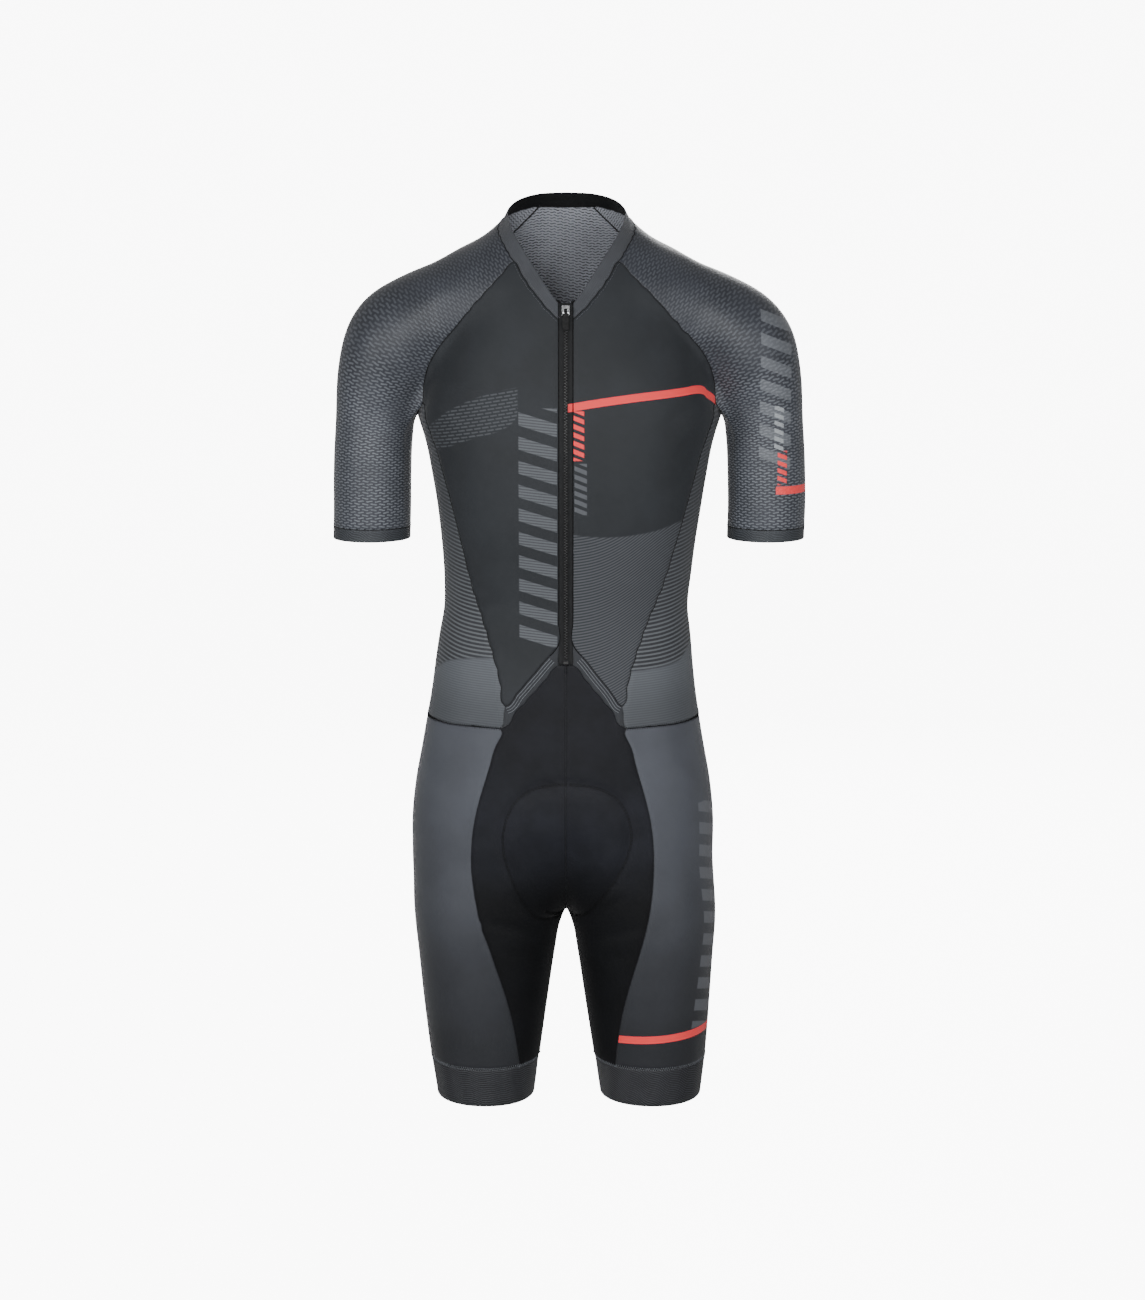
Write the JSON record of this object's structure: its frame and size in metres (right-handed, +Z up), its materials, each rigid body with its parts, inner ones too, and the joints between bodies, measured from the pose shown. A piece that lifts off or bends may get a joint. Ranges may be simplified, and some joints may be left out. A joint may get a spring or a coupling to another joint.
{
  "type": "short-sleeved skinsuit",
  "caption": "One-piece racing skinsuit with short raglan sleeves, a front zip, a low collar, a seat pad and wide elastic leg bands, in its hollow worn form.",
  "frame": {"origin": "midway between the two places where the neckband crosses the tops of the shoulders, where the wearer carries the suit", "axes": "+X to the wearer's left, -Y out of the front, +Z up"},
  "size_m": [0.5115, 0.2412, 0.9943],
  "materials": {
    "front_jersey": "smooth matt knit with a faint sheen",
    "open_knit": "open textured knit",
    "side_jersey": "smooth matt knit",
    "black_jersey": "dense smooth knit",
    "thigh_jersey": "dense knit with a soft sheen",
    "leg_elastic": "wide elastic with a fine raised pattern",
    "binding": "folded elastic binding",
    "collar_cloth": "brushed inside, matt",
    "zip_tape": "woven tape",
    "zip_teeth": "moulded, satin",
    "slider_metal": "polished",
    "pull_plastic": "moulded, matt",
    "pad_foam": "brushed stretch cover over foam"
  },
  "bodies": {
    "suit": {"front_left": "front_jersey", "front_right": "front_jersey", "front_hem_left": "binding", "front_hem_right": "binding", "side_left": "side_jersey", "side_right": "side_jersey", "sleeve_left": "open_knit", "sleeve_right": "open_knit", "sleeve_hem_left": "binding", "sleeve_hem_right": "binding", "neck_band_left": "binding", "neck_band_right": "binding", "short_front_left": "black_jersey", "short_front_right": "black_jersey", "short_side_left": "thigh_jersey", "short_side_right": "thigh_jersey", "short_back_left": "black_jersey", "short_back_right": "black_jersey", "leg_band_left": "leg_elastic", "leg_band_right": "leg_elastic", "zip_tape_left": "zip_tape", "zip_tape_right": "zip_tape", "back": "open_knit", "collar": "collar_cloth", "seat_pad": "pad_foam", "zip_chain": "zip_teeth", "zip_stop": "slider_metal", "zip_slider": "slider_metal"},
    "pull": {"zip_pull": "pull_plastic"}
  },
  "joints": [
    {"name": "pull_swing", "type": "hinge", "parent": "suit", "child": "pull", "pos_m": [0, -0.09363, -0.08723], "axis": [-1, 0, 0], "range_deg": [0, 170]}
  ]
}
